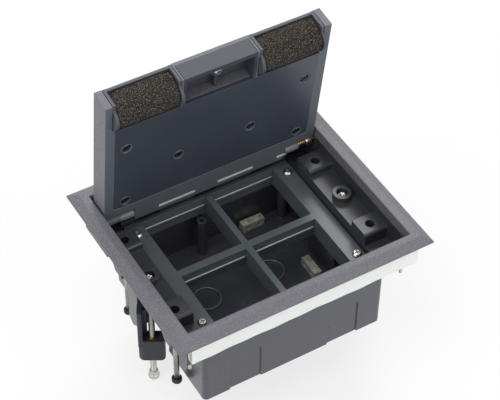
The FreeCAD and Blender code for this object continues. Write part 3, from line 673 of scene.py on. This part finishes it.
def seal_strip(where, material):
    """A hollow foam strip with rounded corners and the slight waves of a soft extrusion."""
    sizes = bpy.context.scene.floor_box_sizes
    node = "seal_strip_" + where
    low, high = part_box(node)
    bpy.ops.object.select_all(action="DESELECT")
    bpy.ops.mesh.primitive_cube_add(size=1.0, location=(low + high) / 2)
    strip = bpy.context.object
    strip.name = "foam_strip_" + where
    strip.data.name = strip.name
    strip.scale = high - low
    place_in_mesh(strip)
    bpy.ops.object.mode_set(mode="EDIT")
    bpy.ops.mesh.select_mode(type="FACE")
    bpy.ops.mesh.select_all(action="DESELECT")
    bpy.ops.object.mode_set(mode="OBJECT")
    for face in strip.data.polygons:
        face.select = abs(face.normal.x) > 0.9
    bpy.ops.object.mode_set(mode="EDIT")
    bpy.ops.mesh.delete(type="ONLY_FACE")
    bpy.ops.mesh.select_all(action="DESELECT")
    bpy.ops.object.mode_set(mode="OBJECT")
    for edge in strip.data.edges:
        first, second = (strip.data.vertices[i].co for i in edge.vertices)
        edge.select = abs(first.x - second.x) > 0.05
    bpy.ops.object.mode_set(mode="EDIT")
    bpy.ops.mesh.select_mode(type="EDGE")
    bpy.ops.mesh.bevel(offset=0.9 * MM, segments=3, affect="EDGES")
    bpy.ops.object.mode_set(mode="OBJECT")
    for edge in strip.data.edges:
        first, second = (strip.data.vertices[i].co for i in edge.vertices)
        edge.select = abs(first.x - second.x) > 0.05
    bpy.ops.object.mode_set(mode="EDIT")
    bpy.ops.mesh.select_mode(type="EDGE")
    bpy.ops.mesh.subdivide(number_cuts=75)
    bpy.ops.object.mode_set(mode="OBJECT")
    apply_modifier(strip, "SOLIDIFY", thickness=sizes.strip_wall, offset=-1.0, use_rim=True)
    for vertex in strip.data.vertices:
        x, z = vertex.co.x, vertex.co.z
        slack = min(1.0, max(0.0, (high.z - z) / (high.z - low.z)))
        wave = 0.00018 * math.sin(x / 0.0083 + 0.7) + 0.00014 * math.sin(x / 0.0031 + 2.0 + z / 0.006)
        vertex.co.y += wave * slack
    only(strip)
    bpy.ops.object.shade_smooth_by_angle(angle=math.radians(40))
    strip.data.materials.append(material)
    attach(strip, "root")
    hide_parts(node)
    return strip


# ---------------------------------------------------------------- operators
class FLOORBOX_OT_trim_and_lid(bpy.types.Operator):
    """Powder coat on the floor trim and the lid's casting"""
    bl_idname = "floorbox.trim_and_lid"
    bl_label = "Trim and lid casting"

    def execute(self, context):
        colours = context.scene.floor_box_colours
        finish_cad(["trim_flange"], powder_coat("zinc_casting_speckled_powder_coat", colours.trim, 0.52, 1.6))
        finish_cad(["lid_cover"], powder_coat("zinc_lid_casting_powder_coat", colours.trim, 0.55, 0.45,
                                              tuple(colours.inside), tuple(opened_direction((0, 0, -1)))))
        return {"FINISHED"}


class FLOORBOX_OT_fixed_mouldings(bpy.types.Operator):
    """Moulded plastic of the housing, back box and module plate"""
    bl_idname = "floorbox.fixed_mouldings"
    bl_label = "Fixed mouldings"

    def execute(self, context):
        colours = context.scene.floor_box_colours
        housing = moulded_plastic("abs_moulded_housing", colours.housing, 0.3, 2.6, specular=0.5)
        finish_cad(["housing"], housing)
        box = moulded_plastic("abs_moulded_back_box", colours.box, 0.26, 2.6, specular=0.6)
        finish_cad(["back_box"], box)
        plate = moulded_plastic("abs_moulded_module_plate", colours.plate, 0.3, 2.0, specular=0.5)
        finish_cad(["module_plate"], plate)
        # The beads are 2.6 times lighter than the box: a painted highlight round each knockout.
        bead_paint_highlight = moulded_plastic("abs_knockout_rim_painted_highlight", shaded(colours.box, 2.6), 0.16, specular=0.8)
        for number, (x, y) in enumerate(KNOCKOUT_PLACES):
            knockout_ring(number + 1, x, y, KNOCKOUT_RIM_HEIGHT, bead_paint_highlight)
        # The rails are 4 times lighter than the plate: a painted highlight line along each snap lip.
        rail_paint_highlight = moulded_plastic("abs_lip_rail_painted_highlight", shaded(colours.plate, 4.0), 0.16, 3.2, specular=0.8)
        for where, y in LIP_HIGHLIGHT_ROWS:
            for side, x in LIP_HIGHLIGHT_COLUMNS:
                lip_highlight_rail("snap_rail_%s_%s" % (where, side), x, y, rail_paint_highlight)
        return {"FINISHED"}


class FLOORBOX_OT_lid_mouldings(bpy.types.Operator):
    """Moulded plastic of the lid's panel, grip and outlet flaps"""
    bl_idname = "floorbox.lid_mouldings"
    bl_label = "Lid mouldings"

    def execute(self, context):
        colours = context.scene.floor_box_colours
        panel = moulded_plastic("abs_moulded_lid_panel", colours.panel, 0.36, 2.0, specular=0.5)
        finish_cad(["lid_inner_panel"], panel)
        # The seat rings are 1.8 times lighter than the panel: a painted highlight on each dished seat.
        screw_seat_rings(moulded_plastic("abs_screw_seat_painted_highlight", shaded(colours.panel, 1.8), 0.3))
        pads = moulded_plastic("nylon_lid_rest_pad", colours.pad, 0.4)
        for number, (x, length) in enumerate(REST_PADS):
            lid_rest_pad("lid_rest_pad_%d" % (number + 1), x, length, pads)
        finish_cad(["grip_block"], moulded_plastic("abs_moulded_grip", colours.grip, 0.45))
        finish_cad(["outlet_flap_left", "outlet_flap_right"],
                   moulded_plastic("abs_moulded_outlet_flap", colours.flap, 0.45, edge_highlight=1.3))
        return {"FINISHED"}


class FLOORBOX_OT_claws_and_feet(bpy.types.Operator):
    """Moulded plastic of the clamp claws and levelling feet"""
    bl_idname = "floorbox.claws_and_feet"
    bl_label = "Claws and feet"

    def execute(self, context):
        colours = context.scene.floor_box_colours
        claw = moulded_plastic("glass_filled_nylon_claw", colours.claw, 0.5)
        foot = moulded_plastic("moulded_nylon_foot", colours.foot, 0.45)
        finish_cad(["clamp_claw_left", "clamp_claw_right"], claw)
        feet = [n for n in frame["nodes"] if n.startswith("levelling_foot_")]
        finish_cad(feet, foot)
        smooth_cad(feet)
        return {"FINISHED"}


class FLOORBOX_OT_metal_parts(bpy.types.Operator):
    """Plated steel and brass finishes, and threads on the clamp and levelling screws"""
    bl_idname = "floorbox.metal_parts"
    bl_label = "Screws, pins and terminals"

    def execute(self, context):
        colours = context.scene.floor_box_colours
        sizes = context.scene.floor_box_sizes
        steel = plated_metal("nickel_plated_steel_screw", colours.steel, 0.3, 0.8)
        zinc = plated_metal("zinc_plated_steel_thread", shaded(colours.steel, 0.95), 0.34, 0.7)
        dark = plated_metal("black_zinc_plated_screw", shaded(colours.steel, 0.16), 0.4, 0.7)
        brass = plated_metal("turned_brass", colours.brass, 0.3, 0.75)
        steel_nodes = ["plate_screws", "box_screws", "corner_screws", "grip_screw", "outlet_pins_left",
                       "outlet_pins_right"]
        tinned = plated_metal("tin_plated_brass_terminal", colours.tin, 0.45, 0.85, 0.4)
        brass_nodes = ["hinge_pin_left", "hinge_pin_right", "clamp_insert_left", "clamp_insert_right"]
        terminal_nodes = ["earth_terminal_rear", "earth_terminal_side"]
        finish_cad(steel_nodes, steel)
        finish_cad(["lid_panel_screws"], dark)
        finish_cad(brass_nodes, brass)
        finish_cad(terminal_nodes, tinned)
        smooth_cad(steel_nodes + ["lid_panel_screws"] + brass_nodes + terminal_nodes)
        hinge_sleeve(steel)
        # The barrel skins are 1.3 times lighter than the lid's coat: a painted highlight on the round
        # barrels.
        barrel = moulded_plastic("smooth_zinc_barrel_painted_highlight", shaded(colours.trim, 1.3), 0.35)
        for side, x in HINGE_BARREL_PLACES:
            hinge_barrel(side, x, barrel)
        for side in ("left", "right"):
            node = "clamp_screw_" + side
            low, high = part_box(node)
            screw = threaded(node, "clamp_screw_thread_" + side, node, CLAMP_THREAD_RADIUS * MM,
                             sizes.clamp_pitch, high.z - 3.4 * MM, low.z + 0.4 * MM)
            screw.data.materials.append(zinc)
            end_nut(side, steel)
        for corner in ("front_left", "front_right", "rear_left", "rear_right"):
            node = "levelling_screw_" + corner
            low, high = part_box(node)
            screw = threaded(node, "levelling_screw_thread_" + corner, node, LEVELLING_THREAD_RADIUS * MM,
                             sizes.levelling_pitch, high.z - 2.6 * MM, low.z + 3.6 * MM)
            screw.data.materials.append(zinc)
        return {"FINISHED"}


class FLOORBOX_OT_outlet_foams(bpy.types.Operator):
    """Open-cell foam pads of the two cable outlets"""
    bl_idname = "floorbox.outlet_foams"
    bl_label = "Outlet foams"

    def execute(self, context):
        material = open_cell_foam("polyurethane_open_cell_foam", context.scene.floor_box_colours.foam)
        for side in ("left", "right"):
            outlet_foam(side, material)
        return {"FINISHED"}


class FLOORBOX_OT_seal_strips(bpy.types.Operator):
    """Hollow foam strips under the trim's front and rear edges"""
    bl_idname = "floorbox.seal_strips"
    bl_label = "Seal strips"

    def execute(self, context):
        material = closed_cell_foam("polyethylene_closed_cell_strip", context.scene.floor_box_colours.strip)
        for where in ("front", "rear"):
            seal_strip(where, material)
        return {"FINISHED"}


class FLOORBOX_OT_stage(bpy.types.Operator):
    """Pale floor, soft lamps and camera"""
    bl_idname = "floorbox.stage"
    bl_label = "Stage"

    def execute(self, context):
        floor_under(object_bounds()[0].z)
        white_surroundings(0.62)
        soft_lamp("lamp_behind", (0.55, 0.85, 1.0), 0.9, 8.0)
        soft_lamp("lamp_above", (-0.45, -0.15, 1.25), 0.7, 4.5)
        soft_lamp("lamp_left", (-1.15, -0.35, 0.55), 0.8, 3.0)
        soft_lamp("lamp_front", (0.35, -1.25, 0.5), 0.8, 3.5)
        aim_camera()
        return {"FINISHED"}


def floor_under(height):
    """A pale floor that shows white and keeps the object's shadow."""
    bpy.ops.object.select_all(action="DESELECT")
    bpy.ops.mesh.primitive_plane_add(size=8.0, location=(0, 0, height - 0.0002))
    floor = bpy.context.object
    floor.name = "pale_floor"
    material, tree, shader, _ = blank_material("matt_pale_floor")
    shader.inputs["Base Color"].default_value = linear("F1F1F2")
    shader.inputs["Roughness"].default_value = 1.0
    shader.inputs["Specular IOR Level"].default_value = 0.0
    glow = add(tree, "ShaderNodeEmission", inputs={"Color": (1, 1, 1, 1), "Strength": 1.0})
    path = add(tree, "ShaderNodeLightPath")
    rays = maths(tree, "MAXIMUM", path.outputs["Is Camera Ray"], path.outputs["Is Glossy Ray"])
    rays = maths(tree, "MAXIMUM", rays, path.outputs["Is Transmission Ray"])
    share = maths(tree, "MULTIPLY", rays, 0.72)
    mix = add(tree, "ShaderNodeMixShader", inputs={0: share, 1: shader.outputs[0], 2: glow.outputs[0]})
    output = next(node for node in tree.nodes if node.type == "OUTPUT_MATERIAL")
    tree.links.new(mix.outputs[0], output.inputs["Surface"])
    floor.data.materials.append(material)
    floor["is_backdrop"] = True


def white_surroundings(level):
    """An even soft light that the camera, metal and glass see as white."""
    world = bpy.data.worlds.new("white_surroundings")
    bpy.context.scene.world = world
    world.use_nodes = True
    tree = world.node_tree
    tree.nodes.clear()
    seen = add(tree, "ShaderNodeBackground", inputs={"Color": (1, 1, 1, 1), "Strength": 1.0})
    light = add(tree, "ShaderNodeBackground", inputs={"Color": (1, 1, 1, 1), "Strength": level})
    path = add(tree, "ShaderNodeLightPath")
    rays = maths(tree, "MAXIMUM", path.outputs["Is Camera Ray"], path.outputs["Is Glossy Ray"])
    rays = maths(tree, "MAXIMUM", rays, path.outputs["Is Transmission Ray"])
    mix = add(tree, "ShaderNodeMixShader", inputs={0: rays, 1: light.outputs[0], 2: seen.outputs[0]})
    output = add(tree, "ShaderNodeOutputWorld")
    tree.links.new(mix.outputs[0], output.inputs["Surface"])


def soft_lamp(name, place, size, watts):
    data = bpy.data.lights.new(name, "AREA")
    data.shape = "DISK"
    data.size = size
    data.energy = watts
    lamp = bpy.data.objects.new(name, data)
    bpy.context.scene.collection.objects.link(lamp)
    lamp.location = place
    lamp.rotation_euler = Vector(place).to_track_quat("Z", "Y").to_euler()


def aim_camera():
    """A long lens from the front left, 47 degrees above the floor."""
    right = Vector((0.8583812, -0.5127780, 0.0155054))
    down = Vector((-0.3597395, -0.6231955, -0.6944169))
    ahead = Vector((0.3657446, 0.5904966, -0.7194058))
    data = bpy.data.cameras.new("camera")
    data.sensor_width = 36.0
    data.lens = 117.86
    data.shift_x = -0.0231
    data.shift_y = -0.0159
    data.clip_start = 0.05
    data.clip_end = 20.0
    camera = bpy.data.objects.new("camera", data)
    bpy.context.scene.collection.objects.link(camera)
    turn = Matrix((right, -down, -ahead)).transposed().to_4x4()
    camera.matrix_world = Matrix.Translation((-0.34269, -0.56771, 0.71061)) @ turn
    bpy.context.scene.camera = camera


class FLOORBOX_PT_panel(bpy.types.Panel):
    bl_idname = "FLOORBOX_PT_panel"
    bl_label = "Floor socket box"
    bl_space_type = "VIEW_3D"
    bl_region_type = "UI"
    bl_category = "Floor box"

    def draw(self, context):
        for group in (context.scene.floor_box_colours, context.scene.floor_box_sizes):
            box = self.layout.box()
            for name in group.__annotations__:
                box.prop(group, name)
        for operator in OPERATORS:
            self.layout.operator(operator.bl_idname)


OPERATORS = (FLOORBOX_OT_trim_and_lid, FLOORBOX_OT_fixed_mouldings, FLOORBOX_OT_lid_mouldings,
             FLOORBOX_OT_claws_and_feet, FLOORBOX_OT_metal_parts, FLOORBOX_OT_outlet_foams,
             FLOORBOX_OT_seal_strips, FLOORBOX_OT_stage)
CLASSES = (FloorBoxColours, FloorBoxSizes) + OPERATORS + (FLOORBOX_PT_panel,)


def register():
    for cls in CLASSES:
        bpy.utils.register_class(cls)
    bpy.types.Scene.floor_box_colours = bpy.props.PointerProperty(type=FloorBoxColours)
    bpy.types.Scene.floor_box_sizes = bpy.props.PointerProperty(type=FloorBoxSizes)


def unregister():
    del bpy.types.Scene.floor_box_sizes
    del bpy.types.Scene.floor_box_colours
    for cls in reversed(CLASSES):
        bpy.utils.unregister_class(cls)


def main():
    register()
    bpy.context.scene.view_settings.view_transform = "Standard"
    bpy.ops.floorbox.trim_and_lid()
    bpy.ops.floorbox.fixed_mouldings()
    bpy.ops.floorbox.lid_mouldings()
    bpy.ops.floorbox.claws_and_feet()
    bpy.ops.floorbox.metal_parts()
    bpy.ops.floorbox.outlet_foams()
    bpy.ops.floorbox.seal_strips()
    bpy.ops.floorbox.stage()


if __name__ == "__main__":
    main()
